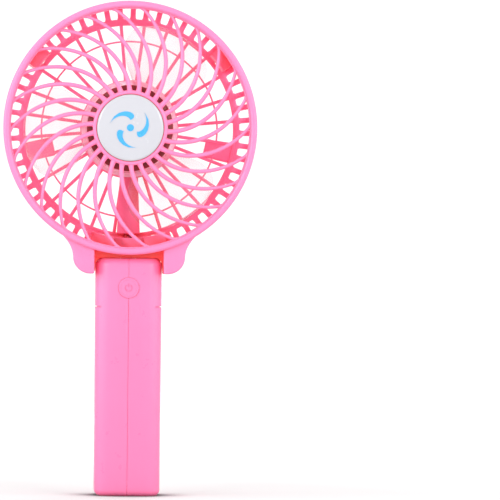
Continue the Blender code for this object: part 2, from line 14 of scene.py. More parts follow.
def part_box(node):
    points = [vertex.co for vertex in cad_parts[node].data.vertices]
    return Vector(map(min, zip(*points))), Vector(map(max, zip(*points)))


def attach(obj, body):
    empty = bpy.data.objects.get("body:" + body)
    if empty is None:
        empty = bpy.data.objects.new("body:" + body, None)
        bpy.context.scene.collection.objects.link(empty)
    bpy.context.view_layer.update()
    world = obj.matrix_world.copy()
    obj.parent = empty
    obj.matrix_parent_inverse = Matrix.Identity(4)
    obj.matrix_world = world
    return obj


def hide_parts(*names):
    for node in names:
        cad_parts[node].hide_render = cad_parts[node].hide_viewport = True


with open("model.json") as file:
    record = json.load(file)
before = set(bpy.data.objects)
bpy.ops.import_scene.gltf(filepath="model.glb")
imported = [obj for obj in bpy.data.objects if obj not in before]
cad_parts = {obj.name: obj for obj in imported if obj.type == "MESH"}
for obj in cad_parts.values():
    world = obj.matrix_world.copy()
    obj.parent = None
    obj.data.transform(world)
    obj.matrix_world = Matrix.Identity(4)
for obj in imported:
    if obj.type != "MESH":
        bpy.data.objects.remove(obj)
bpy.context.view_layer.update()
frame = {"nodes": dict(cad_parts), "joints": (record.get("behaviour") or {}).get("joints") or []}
JOINTS = {joint["name"]: joint for joint in frame["joints"]}

MM = 0.001
HEAD = Vector(JOINTS["rotor_spin"]["pos_m"]) / MM
PIVOT = Vector(JOINTS["handle_fold"]["pos_m"]) / MM


def span(node):
    """Lowest and highest corner of a CAD node, in millimetres."""
    low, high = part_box(node)
    return low / MM, high / MM


# Segments round a turned shape
FINE = 256
MIDDLING = 192

# Head, from the boxes of its nodes
SHELL_LOW, SHELL_HIGH = span("front_shell")
HEAD_R = SHELL_HIGH.x
FRONT_Y = SHELL_LOW.y
SEAM_Y = SHELL_HIGH.y
WALL = 1.6

# Front feet, heights measured from the head's centre
FOOT_Z = SHELL_LOW.z - HEAD.z
FOOT_IN = 14.6
FOOT_OUT = 23.6
FOOT_CORNER = 7.2
WEB_FRONT = -11.0

# Front grille
RIBS = 26
RIB_START = 8.5
RIB_SWEEP = 33.7
RIB_W = 1.95
HUB_R = 15.8
HUB_FRONT = -17.3
GRILLE_BACK = -12.1
BADGE_R = 14.1
PETALS = 3

# Rear shell and grille
REAR_Y = 14.0
REAR_R = 53.3
REAR_SEAM = SEAM_Y + 0.4
REAR_CORNER = 6.5
REAR_FOOT_W = 3.6
BARS = 56
BAR_W = 2.3
SPOKES = 28
SPOKE_START = 5.0
SPOKE_W = 1.4
SPOKE_FRONT = 12.25
BACK_HUB_R = 21.0
DUCT_FRONT = 8.4
SCREW_R = 48.9
SCREW_ANGLES = (37.5, 142.5, 257.0, 283.0)
UPPER_SCREWS = SCREW_ANGLES[:2]
LUG_ANGLES = (-13.0, 193.0)
DOWN = 270.0

# Impeller
BLADES = 3
TIP_R = 45.0
CUP_R = 18.7

# Hinge
PIN_R = 1.5
BORE_R = 1.56

# Handle
HANDLE_TOP = PIVOT.z + 3.0
HANDLE_Y = (-15.0, 10.0)
HANDLE_HALF = 14.0
BASE_HALF = 13.85
BASE_WALL = 1.8
END_EASE = (2.6, 3.2)
HALVES_GAP = 0.07
COVER_TOP = span("battery_cover")[1].z + 0.3
COVER_Y = 3.0
COVER_GAP = 0.25
BUTTON_Z = sum(span("power_button"), Vector()).z / 2
BUTTON_R = 3.45
LEAD_R = 0.6

# Plastic seen by light that has passed through it, and the painted coral glow and shade where
# its walls close in
LIGHT_THROUGH = (1.0, 0.27, 0.42)
DEEP_RECESS_PAINTED_GLOW = (1.0, 0.08, 0.06)
RECESS_PAINTED_GLOW = (1.0, 0.27, 0.5)

# Stage
FLOOR_SIZE = 40.0
CONTACT_REACH = 0.018
CONTACT_SHADE = (0.16, 0.16, 0.16)
VIEW_WIDTH = 0.21065
CAMERA_LEAN = math.radians(0.55)


def placed(name, data):
    """A new object of the data in the scene."""
    obj = bpy.data.objects.new(name, data)
    bpy.context.scene.collection.objects.link(obj)
    return obj


# ------------------------------------------------------------------ mesh tools

def polar(radius, degrees, centre=(0.0, 0.0)):
    """A 2-D point at a radius and angle about a centre."""
    angle = math.radians(degrees)
    return (centre[0] + radius * math.cos(angle), centre[1] + radius * math.sin(angle))


def arc(radius, start, end, count, centre=(0.0, 0.0)):
    """Points along an arc from start to end, in degrees, both included."""
    step = (end - start) / count
    return [polar(radius, start + i * step, centre) for i in range(count + 1)]


def rounded(corners, steps=5):
    """A closed outline of (a, b, radius) corners, each turned into an arc of its radius."""
    outline = []
    count = len(corners)
    for i, (a, b, radius) in enumerate(corners):
        here = Vector((a, b))
        if radius <= 0:
            outline.append((a, b))
            continue
        before = Vector(corners[i - 1][:2]) - here
        after = Vector(corners[(i + 1) % count][:2]) - here
        half = before.angle(after) / 2
        reach = min(radius / math.tan(half), before.length * 0.49, after.length * 0.49)
        radius = reach * math.tan(half)
        centre = here + (before.normalized() + after.normalized()).normalized() * (
            radius / math.sin(half))
        start = here + before.normalized() * reach - centre
        sweep = start.angle_signed(here + after.normalized() * reach - centre)
        for k in range(steps + 1):
            turned = start.copy()
            turned.rotate(Matrix.Rotation(-sweep * k / steps, 2))
            outline.append(tuple(centre + turned))
    return outline


def mesh_from(bm):
    """A mesh of the closed shape in bm, with its normals outwards; bm is used up."""
    bmesh.ops.remove_doubles(bm, verts=bm.verts, dist=0.000002)
    bmesh.ops.recalc_face_normals(bm, faces=bm.faces)
    mesh = bpy.data.meshes.new("shape")
    bm.to_mesh(mesh)
    bm.free()
    return mesh


def loft(rings, loop=False):
    """Skin a run of rings of 3-D points, and cap its ends unless it closes on itself."""
    bm = bmesh.new()
    rows = [[bm.verts.new(Vector(p) * MM) for p in ring] for ring in rings]
    count = len(rows[0])
    pairs = list(zip(rows, rows[1:])) + ([(rows[-1], rows[0])] if loop else [])
    for low, high in pairs:
        for i in range(count):
            k = (i + 1) % count
            bm.faces.new((low[i], low[k], high[k], high[i]))
    if not loop:
        bm.faces.new(rows[0][::-1])
        bm.faces.new(rows[-1])
    return mesh_from(bm)


def about_head(radius, y, degrees):
    """A point at a radius and turn about the head's axis."""
    x, z = polar(radius, degrees, (HEAD.x, HEAD.z))
    return (x, y, z)


def lathe(profile, segments=MIDDLING):
    """Turn a (radius, y) outline about the head's axis."""
    profile = [(max(r, 0.0), y) for r, y in profile]
    bm = bmesh.new()
    rows = [[bm.verts.new(Vector(about_head(r, y, 360.0 * i / segments)) * MM)
             for r, y in profile] for i in range(segments)]
    count = len(profile)
    for i in range(segments):
        low, high = rows[i], rows[(i + 1) % segments]
        for j in range(count):
            k = (j + 1) % count
            on_axis = profile[j][0] < 1e-6 and profile[k][0] < 1e-6
            if not on_axis:
                bm.faces.new((low[j], low[k], high[k], high[j]))
    bmesh.ops.remove_doubles(bm, verts=bm.verts, dist=0.000001)
    bmesh.ops.dissolve_degenerate(bm, edges=bm.edges, dist=0.0000001)
    return mesh_from(bm)


def sector(profile, start, end, count):
    """A stretch of a turned shape, closed at both ends."""
    step = (end - start) / count
    return loft([[about_head(r, y, start + i * step) for r, y in profile]
                 for i in range(count + 1)])


PLANES = {
    "XY": lambda a, b, c: (a, b, c),
    "XZ": lambda a, b, c: (a, c, b),
    "YZ": lambda a, b, c: (c, a, b),
}


def eased_levels(low, high, ease, steps):
    """(level, inset) pairs from low to high, with a quarter round at each end."""
    if not ease:
        return [(low, 0.0), (high, 0.0)]
    turns = [math.pi / 2 * i / steps for i in range(steps + 1)]
    quarter = [(ease * (1 - math.sin(t)), ease * (1 - math.cos(t))) for t in turns]
    return ([(low + depth, inset) for depth, inset in reversed(quarter)]
            + [(high - depth, inset) for depth, inset in quarter])


def slab(outline, low, high, plane="XZ", ease=0.0):
    """An outline with thickness; ease rounds both rims by moving them in."""
    place = PLANES[plane]
    return loft([[place(a, b, level) for a, b in shrunk(outline, inset)]
                 for level, inset in eased_levels(low, high, ease, 3)])


def shrunk(outline, inset):
    """The outline moved inwards all round by inset."""
    if not inset:
        return outline
    area = sum(a[0] * b[1] - b[0] * a[1] for a, b in zip(outline, outline[1:] + outline[:1]))
    side = 1.0 if area > 0 else -1.0
    result = []
    for i, point in enumerate(outline):
        here = Vector(point)
        before = here - Vector(outline[i - 1])
        after = Vector(outline[(i + 1) % len(outline)]) - here
        normal = Vector((0.0, 0.0))
        for edge in (before, after):
            if edge.length > 1e-9:
                edge.normalize()
                normal += Vector((-edge.y, edge.x))
        normal.normalize()
        lean = max(0.4, normal.dot(Vector((-after.y, after.x))))
        result.append(tuple(here + normal * side * inset / lean))
    return result


def box(low, high, ease=0.0):
    """A block between two corners, its edges rounded by ease."""
    bm = bmesh.new()
    bmesh.ops.create_cube(bm, size=1.0)
    size = [b - a for a, b in zip(low, high)]
    middle = [(a + b) / 2 for a, b in zip(low, high)]
    bmesh.ops.scale(bm, verts=bm.verts, vec=Vector(size) * MM)
    bmesh.ops.translate(bm, verts=bm.verts, vec=Vector(middle) * MM)
    if ease:
        bmesh.ops.bevel(bm, geom=bm.edges[:], offset=ease * MM, segments=3,
                        profile=0.5, affect="EDGES")
    return mesh_from(bm)


def rod(radius, low, high, axis, centre, segments=48, ease=0.0):
    """A round bar along an axis, its ends eased; centre is its other two coordinates."""
    place = PLANES[{"X": "YZ", "Y": "XZ", "Z": "XY"}[axis]]
    return loft([[place(*polar(radius - inset, 360.0 * i / segments, centre), level)
                  for i in range(segments)]
                 for level, inset in eased_levels(low, high, ease, 4)])


def tube(path, radius):
    """A round wire along a path, with closed ends."""
    points = [Vector(p) for p in path]
    turns = [2 * math.pi * k / 16 for k in range(16)]
    rings = []
    across = Vector((1.0, 0.0, 0.0))
    for i, point in enumerate(points):
        along = (points[min(i + 1, len(points) - 1)] - points[max(i - 1, 0)]).normalized()
        across = (across - along * across.dot(along)).normalized()
        other = along.cross(across)
        rings.append([tuple(point + across * radius * math.cos(a)
                            + other * radius * math.sin(a)) for a in turns])
    return loft(rings)


def swung(radius, y, across, degrees):
    """A point at a radius and a distance to its side, turned about the head's axis."""
    place = Vector((radius, across))
    place.rotate(Matrix.Rotation(math.radians(degrees), 2))
    return (HEAD.x + place.x, y, HEAD.z + place.y)


def turned(mesh, degrees):
    """Turn a shape about the head's axis, from +X towards +Z."""
    to_axis = Matrix.Translation(HEAD * MM)
    spin = Matrix.Rotation(-math.radians(degrees), 4, "Y")
    mesh.transform(to_axis @ spin @ to_axis.inverted())
    return mesh


def joined(meshes):
    """One mesh of several; the shapes may cross, but aren't merged."""
    bm = bmesh.new()
    for mesh in meshes:
        bm.from_mesh(mesh)
        bpy.data.meshes.remove(mesh)
    mesh = bpy.data.meshes.new("shape")
    bm.to_mesh(mesh)
    bm.free()
    return mesh


def carved(base, *steps):
    """Add and cut away closed shapes, as (operation, mesh) steps, and return the result."""
    holder = placed("holder", base)
    tools = []
    for operation, shape in steps:
        tools.append(placed("tool", shape))
        step = holder.modifiers.new("step", "BOOLEAN")
        step.operation = operation
        step.solver = "MANIFOLD"
        step.object = tools[-1]
    graph = bpy.context.evaluated_depsgraph_get()
    result = bpy.data.meshes.new_from_object(holder.evaluated_get(graph))
    for obj in [holder] + tools:
        data = obj.data
        bpy.data.objects.remove(obj, do_unlink=True)
        bpy.data.meshes.remove(data)
    return result


# ------------------------------------------------------------------- materials

def shader_base(name, colour):
    """A new material with its node tree, its main shader and object coordinates."""
    mat = bpy.data.materials.new(name)
    mat.use_nodes = True
    mat.diffuse_color = (*colour, 1.0)
    tree = mat.node_tree
    return mat, tree, tree.nodes["Principled BSDF"], tree.nodes.new("ShaderNodeTexCoord")


def noise(tree, place, scale, detail=3.0, roughness=0.5):
    """Noise over the object's own coordinates; scale counts its cells per metre."""
    node = tree.nodes.new("ShaderNodeTexNoise")
    node.inputs["Scale"].default_value = scale
    node.inputs["Detail"].default_value = detail
    node.inputs["Roughness"].default_value = roughness
    tree.links.new(place.outputs["Object"], node.inputs["Vector"])
    return node.outputs["Fac"]


def spread(tree, value, low, high, at=(0.3, 0.7)):
    """The value, moved from the range of at to low and high."""
    node = tree.nodes.new("ShaderNodeMapRange")
    node.inputs["From Min"].default_value = at[0]
    node.inputs["From Max"].default_value = at[1]
    node.inputs["To Min"].default_value = low
    node.inputs["To Max"].default_value = high
    tree.links.new(value, node.inputs["Value"])
    return node.outputs["Result"]


def mixed(tree, value, first, second):
    """Two colours mixed by value, each a colour or the output of another node."""
    node = tree.nodes.new("ShaderNodeMix")
    node.data_type = "RGBA"
    for colour, socket in ((first, node.inputs["A"]), (second, node.inputs["B"])):
        if isinstance(colour, tuple):
            socket.default_value = (*colour, 1.0)
        else:
            tree.links.new(colour, socket)
    tree.links.new(value, node.inputs["Factor"])
    return node.outputs["Result"]


def layered(tree, first, second):
    """Mix two shader nodes into the surface, and return the share of the second."""
    mix = tree.nodes.new("ShaderNodeMixShader")
    tree.links.new(first.outputs["BSDF"], mix.inputs[1])
    tree.links.new(second.outputs["BSDF"], mix.inputs[2])
    tree.links.new(mix.outputs["Shader"], tree.nodes["Material Output"].inputs["Surface"])
    return mix.inputs["Fac"]


def bumped(tree, shader, heights, strength=0.5):
    """Chain bumps of (height, distance in metres) into the shader's normal."""
    normal = None
    for height, distance in heights:
        node = tree.nodes.new("ShaderNodeBump")
        node.inputs["Strength"].default_value = strength
        node.inputs["Distance"].default_value = distance
        tree.links.new(height, node.inputs["Height"])
        if normal:
            tree.links.new(normal, node.inputs["Normal"])
        normal = node.outputs["Normal"]
    tree.links.new(normal, shader.inputs["Normal"])


def openness(tree, reach):
    """How open a spot is to its surroundings within reach, from 0 to 1."""
    node = tree.nodes.new("ShaderNodeAmbientOcclusion")
    node.samples = 8
    node.inputs["Distance"].default_value = reach
    return node.outputs["AO"]


def plastic(name, colour, shade, rough=(0.3, 0.42), grain=0.00001, glow=0.0, reach=0.0):
    """Moulded plastic: faint flow marks in the colour, uneven gloss and a fine grain.

    glow is the share of the light that comes through from behind, reddened on its way.
    With a reach, painted glow and shade turn the plastic coral where walls close in on it within
    that distance.
    """
    mat, tree, shader, place = shader_base(name, colour)
    flow = noise(tree, place, 22.0, 4.0, 0.6)
    tint = mixed(tree, spread(tree, flow, 0.0, 1.0), colour, shade)
    # Painted glow and shade: where ambient occlusion finds walls close by, the colour turns
    # coral, then deep red-orange
    if reach:
        depth = openness(tree, reach)
        painted_recess_tint = mixed(tree, spread(tree, depth, 0.0, 1.0, (0.1, 0.45)), DEEP_RECESS_PAINTED_GLOW, RECESS_PAINTED_GLOW)
        tint = mixed(tree, spread(tree, depth, 0.0, 1.0, (0.4, 0.85)), painted_recess_tint, tint)
    tree.links.new(tint, shader.inputs["Base Color"])
    handling = noise(tree, place, 180.0, 5.0, 0.65)
    tree.links.new(spread(tree, handling, *rough), shader.inputs["Roughness"])
    bumped(tree, shader, [(noise(tree, place, 60.0, 1.0), 0.00003),
                          (noise(tree, place, 1100.0, 1.0), grain)])
    shader.inputs["IOR"].default_value = 1.5
    if glow:
        shader.inputs["Sheen Weight"].default_value = 0.22
        shader.inputs["Sheen Roughness"].default_value = 0.35
        through = tree.nodes.new("ShaderNodeBsdfTranslucent")
        through.inputs["Color"].default_value = (*LIGHT_THROUGH, 1.0)
        layered(tree, shader, through).default_value = glow
    return mat


def metal(name, colour, shade, rough=(0.22, 0.38), brushed=False):
    """Metal with patchy colour and gloss; brushed draws its fine marks out along Y."""
    mat, tree, shader, place = shader_base(name, colour)
    shader.inputs["Metallic"].default_value = 1.0
    patches = noise(tree, place, 120.0, 4.0, 0.6)
    tree.links.new(mixed(tree, spread(tree, patches, 0.0, 1.0), colour, shade),
                   shader.inputs["Base Color"])
    stretch = tree.nodes.new("ShaderNodeMapping")
    stretch.inputs["Scale"].default_value = (1.0, 0.08, 1.0) if brushed else (1.0, 1.0, 1.0)
    tree.links.new(place.outputs["Object"], stretch.inputs["Vector"])
    lines = tree.nodes.new("ShaderNodeTexNoise")
    lines.inputs["Scale"].default_value = 1800.0
    lines.inputs["Detail"].default_value = 3.0
    tree.links.new(stretch.outputs["Vector"], lines.inputs["Vector"])
    tree.links.new(spread(tree, lines.outputs["Fac"], *rough), shader.inputs["Roughness"])
    bumped(tree, shader, [(lines.outputs["Fac"], 0.00001)], 0.4)
    return mat


def clear_plastic(name, haze, colour=(0.87, 0.89, 0.91)):
    """Clear plastic with a light frost; haze is the share of light it stops head on."""
    mat, tree, shader, place = shader_base(name, colour)
    frost = noise(tree, place, 260.0, 4.0)
    pale = tuple(0.5 + 0.5 * c for c in colour)
    tree.links.new(mixed(tree, spread(tree, frost, 0.0, 1.0), colour, pale),
                   shader.inputs["Base Color"])
    tree.links.new(spread(tree, frost, 0.16, 0.3), shader.inputs["Roughness"])
    bumped(tree, shader, [(frost, 0.00001)], 0.3)
    through = tree.nodes.new("ShaderNodeBsdfTransparent")
    through.inputs["Color"].default_value = (0.95, 0.953, 0.96, 1.0)
    edge = tree.nodes.new("ShaderNodeLayerWeight")
    edge.inputs["Blend"].default_value = 0.3
    share = spread(tree, edge.outputs["Facing"], haze, 0.75, (0.0, 1.0))
    tree.links.new(share, layered(tree, through, shader))
    return mat


def board_face(name):
    """Green solder mask with lighter copper tracks under it."""
    mat, tree, shader, place = shader_base(name, (0.02, 0.18, 0.08))
    tracks = tree.nodes.new("ShaderNodeTexBrick")
    tracks.inputs["Scale"].default_value = 260.0
    tracks.inputs["Mortar Size"].default_value = 0.06
    tracks.inputs["Color1"].default_value = (0.012, 0.16, 0.07, 1.0)
    tracks.inputs["Color2"].default_value = (0.014, 0.18, 0.08, 1.0)
    tracks.inputs["Mortar"].default_value = (0.05, 0.32, 0.14, 1.0)
    upright = tree.nodes.new("ShaderNodeMapping")
    upright.inputs["Rotation"].default_value = (math.pi / 2, 0.0, 0.0)
    tree.links.new(place.outputs["Object"], upright.inputs["Vector"])
    tree.links.new(upright.outputs["Vector"], tracks.inputs["Vector"])
    tree.links.new(tracks.outputs["Color"], shader.inputs["Base Color"])
    tree.links.new(spread(tree, noise(tree, place, 500.0), 0.25, 0.4),
                   shader.inputs["Roughness"])
    bumped(tree, shader, [(tracks.outputs["Fac"], 0.00003)], 0.4)
    return mat


# pink_plastic is painted coral in its recesses through its reach: painted glow and shade
PINK = plastic("pink_plastic", (0.98, 0.24, 0.485), (0.99, 0.25, 0.5), (0.26, 0.36),
               grain=0.000005, glow=0.35, reach=0.014)
# Painted glow: red-orange for the web in the shaded gap under the rim, standing in for light
# coming through the plastic
PINK_PAINTED_GLOW = plastic("pink_painted_glow", (1.0, 0.13, 0.1), (1.0, 0.15, 0.12), (0.3, 0.4),
                    grain=0.000005, glow=0.45)
PINK_GRIP = plastic("pink_grip", (0.98, 0.225, 0.46), (0.99, 0.235, 0.475), (0.26, 0.36),
                    grain=0.000005, glow=0.35)
WHITE = plastic("white_plastic", (0.37, 0.37, 0.4), (0.39, 0.39, 0.42), (0.18, 0.28),
                grain=0.000004)
CYAN = plastic("cyan_print", (0.025, 0.26, 0.52), (0.035, 0.28, 0.54), (0.25, 0.35),
               grain=0.000004)
BLACK = plastic("black_plastic", (0.02, 0.02, 0.022), (0.028, 0.028, 0.03), (0.4, 0.55))
RED_WIRE = plastic("red_insulation", (0.55, 0.02, 0.02), (0.62, 0.03, 0.03), (0.35, 0.5))
BLACK_WIRE = plastic("black_insulation", (0.015, 0.015, 0.016), (0.02, 0.02, 0.022),
                     (0.35, 0.5))
WRAP = plastic("cell_wrap", (0.03, 0.16, 0.5), (0.035, 0.18, 0.54), (0.25, 0.4))
LED = plastic("led_lens", (0.85, 0.86, 0.7), (0.9, 0.9, 0.78), (0.1, 0.2),
              grain=0.000004)
FERRITE = plastic("ferrite", (0.035, 0.034, 0.036), (0.05, 0.048, 0.05), (0.55, 0.75),
                  grain=0.00004)
# Painted shade: dark red-brown for the impeller cup's face, standing in for the shadowed gap
# behind the front hub
HUB_PAINTED_SHADE = plastic("hub_painted_shade", (0.2, 0.055, 0.055), (0.24, 0.07, 0.07), (0.5, 0.6))
CLEAR = clear_plastic("clear_plastic", 0.06)
FROSTED = clear_plastic("frosted_clear", 0.7, (1.0, 0.74, 0.88))
STEEL = metal("steel", (0.56, 0.57, 0.58), (0.62, 0.62, 0.63))
ZINC = metal("zinc_steel", (0.66, 0.67, 0.69), (0.72, 0.72, 0.73), (0.2, 0.34), True)
COPPER = metal("copper", (0.62, 0.26, 0.12), (0.7, 0.32, 0.16), (0.3, 0.45), True)
BOARD = board_face("board_green")


def piece(name, mesh, mat, body, slot, *nodes):
    """A finished piece: shading, material, body and the CAD nodes it stands for; slot is not
    used.
    """
    mesh.name = name
    mesh.materials.clear()
    mesh.materials.append(mat)
    mesh.shade_smooth()
    mesh.set_sharp_from_angle(angle=math.radians(38.0))
    obj = placed(name, mesh)
    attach(obj, body)
    if nodes:
        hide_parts(*nodes)
    return obj


# ------------------------------------------------------------------ front half

def front_foot(side):
    """Foot of the front shell, flaring up into the rim."""
    start = Vector(polar(HEAD_R - 0.6, -51.7))
    control = Vector((FOOT_OUT + 0.3, -47.8))
    end = Vector((FOOT_OUT, FOOT_Z + FOOT_CORNER + 0.2))
    outline = [tuple(start * (1 - t) ** 2 + control * 2 * t * (1 - t) + end * t * t)
               for t in (i / 14 for i in range(15))]
    outline += arc(FOOT_CORNER, 0.0, -90.0, 12,
                   (FOOT_OUT - FOOT_CORNER, FOOT_Z + FOOT_CORNER))
    outline += arc(0.8, -90.0, -180.0, 4, (FOOT_IN + 0.8, FOOT_Z + 0.8))
    outline += [polar(HEAD_R - 1.3, a) for a in (-73.8, -70.0, -66.0, -62.0, -58.0, -54.0)]
    outline = [(side * x, z + HEAD.z) for x, z in outline]
    return slab(outline, FRONT_Y + 2.0, SEAM_Y, ease=0.7)


def web_corner(side):
    """Fillet between a foot and the web, following the handle's rounded top corner."""
    centre = (HANDLE_HALF - END_EASE[1], HANDLE_TOP - END_EASE[1])
    radius = END_EASE[1] + 0.22
    outline = [(centre[0] + radius, centre[1] - 2.2)]
    outline += arc(radius, 0.0, 84.0, 10, centre)
    outline += [(outline[-1][0], HANDLE_TOP + 1.2), (FOOT_IN + 0.4, HANDLE_TOP + 1.2),
                (FOOT_IN + 0.4, outline[0][1])]
    return slab([(side * x, z) for x, z in outline], -10.6, SEAM_Y - 0.2)


def make_front_shell():
    """Rim, screw posts, feet, and the web between the feet, coloured red-orange as a painted
    glow of light through the plastic in the shaded gap under the rim.
    """
    rim = rounded([(51.6, -17.5, 0.0), (51.05, -17.5, 0.15), (50.85, -18.3, 0.3),
                   (51.6, FRONT_Y, 0.7), (52.9, FRONT_Y, 1.0), (HEAD_R, -18.1, 0.5),
                   (HEAD_R, SEAM_Y, 0.25), (51.9, SEAM_Y, 0.2), (51.6, -6.2, 0.2)])
    post = rounded([(46.5, -8.4, 0.5), (52.2, -8.4, 0.0), (52.2, SEAM_Y, 0.0),
                    (46.5, SEAM_Y, 0.2)], 4)
    posts = joined([sector(post, a - 5.3, a + 5.3, 8) for a in SCREW_ANGLES])
    web = box((-FOOT_IN - 0.4, WEB_FRONT, HANDLE_TOP + 0.13),
              (FOOT_IN + 0.4, SEAM_Y, HEAD.z - 49.0), 0.3)
    web = carved(web, ("UNION", joined([web_corner(1), web_corner(-1)])),
                 ("DIFFERENCE", rod(52.4, -20.0, 0.0, "Y", (HEAD.x, HEAD.z), FINE)))
    shell = carved(lathe(rim, FINE), ("UNION", front_foot(1)), ("UNION", front_foot(-1)),
                   ("UNION", posts), ("UNION", web))
    front = piece("front_shell_skin", shell, PINK, "head", "pink_plastic", "front_shell")
    front.data.materials.append(PINK_PAINTED_GLOW)
    # Web faces between the feet take the red material in slot 1: a painted orange-red glow in
    # the shaded slot under the rim
    for face in front.data.polygons:
        middle = face.center / MM
        between_feet = abs(middle.x) < FOOT_IN - 0.02 and middle.z < HEAD.z - 50.0
        if between_feet and middle.y > WEB_FRONT - 0.5:
            face.material_index = 1


def rib_angle(radius):
    """How far a rib has swept round at a radius, in degrees."""
    t = max(0.0, (radius - 16.0) / 34.1)
    return RIB_START + RIB_SWEEP * t ** 1.3


def rib_width(radius):
    """Width of a rib: a flare at the hub, a slow taper, and a flare where it meets the rim."""
    flare = 0.8 * math.exp(-(radius - HUB_R) / 0.5)
    inner = 0.2 * min(1.0, (radius - HUB_R) / 14.0)
    outer = 0.5 * min(1.0, max(0.0, (radius - 30.0) / 21.0)) ** 1.5
    end = 0.9 * max(0.0, 1.0 - (51.0 - radius) / 1.6) ** 2
    return RIB_W - inner - outer + flare + end


def rib(index):
    """One curved rib, a deep blade with a rounded front edge and a narrower back."""
    rings = []
    first, last, count = HUB_R - 0.5, 51.15, 30
    for i in range(count + 1):
        r = first + (last - first) * i / count
        turn = rib_angle(r) + index * 360.0 / RIBS
        lean = math.radians(rib_angle(r + 0.5) - rib_angle(r - 0.5)) * r
        half = rib_width(max(r, HUB_R)) / 2
        way = Vector((lean, 1.0)).normalized()
        swell = math.sin(math.pi * min(1.0, (i / count) * 1.02))
        front = -17.15 + 0.35 * (i / count) ** 2
        back = -12.3 + 1.35 * max(0.0, swell) ** 0.6
        section = [(half * math.cos(a), front + half - half * math.sin(a))
                   for a in (math.pi * k / 8 for k in range(9))]
        section += [(-half * 0.72, back - 0.25), (-half * 0.5, back),
                    (half * 0.5, back), (half * 0.72, back - 0.25)]
        aside = Vector((-way.x, way.y))
        offsets = [(aside * across, y) for across, y in section]
        rings.append([swung(r + offset.x, y, offset.y, turn) for offset, y in offsets])
    return loft(rings)


def make_front_grille():
    """Curved ribs between the hub, which holds the badge, and a ring inside the rim."""
    seat = BADGE_R + 0.25
    hub = rounded([(0.0, -15.2, 0.0), (seat, -15.2, 0.0), (seat, HUB_FRONT, 0.25),
                   (HUB_R, HUB_FRONT, 0.7), (HUB_R, GRILLE_BACK, 0.4),
                   (0.0, GRILLE_BACK, 0.0)])
    rim = rounded([(50.3, -16.9, 0.3), (51.35, -16.9, 0.2), (51.35, GRILLE_BACK, 0.2),
                   (50.3, GRILLE_BACK, 0.3)], 3)
    ribs = joined([rib(i) for i in range(RIBS)])
    grille = carved(joined([lathe(hub), lathe(rim, FINE)]), ("UNION", ribs))
    piece("front_grille_skin", grille, PINK, "head", "pink_plastic", "front_grille")


def petal(turn):
    """Raised print in the shape of one fan blade."""
    def edge(t, lead):
        angle = turn + 78.0 * t ** 1.2 - lead * math.sin(math.pi * t) ** 0.8
        return polar(3.2 + 5.6 * t, angle, (HEAD.x, HEAD.z))

    inner = [edge(i / 12, 0.0) for i in range(13)]
    outer = [edge(i / 12, 44.0) for i in range(11, 0, -1)]
    return slab(inner + outer, -17.52, HUB_FRONT)


def make_badge():
    """Plain disc with a generic three-petal mark."""
    face = rounded([(0.0, -17.45, 0.0), (13.4, -17.35, 1.5), (BADGE_R, -16.9, 0.3),
                    (BADGE_R, -15.55, 0.2), (0.0, -15.55, 0.0)])
    piece("badge_face", lathe(face), WHITE, "head", "white_plastic", "badge_disc")
    dot = rod(1.5, -17.56, HUB_FRONT, "Y", (HEAD.x, HEAD.z), 48, 0.05)
    marks = joined([petal(90.0 + 360.0 / PETALS * i) for i in range(PETALS)] + [dot])
    piece("badge_print", marks, CYAN, "head", "white_plastic")


# ------------------------------------------------------------------- rear half

def corner(radius, start, end, count):
    """Points round the curved back corner of the shell."""
    return arc(radius, start, end, count, (REAR_R - REAR_CORNER, REAR_Y - REAR_CORNER))


def shell_outline():
    """Section of the rear shell's wall, from its seam round to the back face."""
    outer = [(REAR_R, REAR_SEAM)] + corner(REAR_CORNER, 0.0, 90.0, 14)
    inner = corner(REAR_CORNER - WALL, 90.0, 0.0, 10) + [(REAR_R - WALL, REAR_SEAM)]
    return outer + [(45.3, REAR_Y), (45.3, REAR_Y - WALL)] + inner


def bar(turn):
    """One bar of the side grille, following the curved corner."""
    path = [(REAR_R - WALL / 2, y) for y in (-2.5, 1.0, 4.5)]
    path += corner(REAR_CORNER - WALL / 2, 0.0, 90.0, 20) + [(45.9, REAR_Y - WALL / 2)]
    rings = []
    for i, (r, y) in enumerate(path):
        ahead = Vector(path[min(i + 1, len(path) - 1)])
        behind = Vector(path[max(i - 1, 0)])
        along = (ahead - behind).normalized()
        out = Vector((along.y, -along.x))
        half = BAR_W / 2
        if r > 46.9:
            half += 0.7 * max(0.0, 1.0 - (r - 46.9) / 1.1) ** 2
        section = rounded([(-half, -0.78, 0.3), (half, -0.78, 0.3),
                           (half, 0.78, 0.3), (-half, 0.78, 0.3)], 2)
        rings.append([swung(r + out.x * depth, y + out.y * depth, across, turn)
                      for across, depth in section])
    return loft(rings)


def near(angle, target, reach):
    """Whether two angles are less than reach apart, in degrees."""
    return abs((angle - target + 180) % 360 - 180) < reach


def rear_foot(side):
    """Thin foot that carries the hinge pin, rounded about the pin."""
    outline = [(-1.0, HEAD.z - 47.9), (-1.0, HEAD.z + FOOT_Z + 1.0),
               (0.0, HEAD.z + FOOT_Z)]
    outline += arc(3.6, -90.0, 20.0, 12, (PIVOT.y, PIVOT.z))
    outline += [(REAR_Y + 0.2, HEAD.z - 51.0), (REAR_Y + 0.2, HEAD.z - 49.4),
                (12.0, HEAD.z - 47.9)]
    low, high = sorted((side * FOOT_IN, side * (FOOT_IN + REAR_FOOT_W)))
    return slab(outline, low, high, "YZ", ease=0.45)


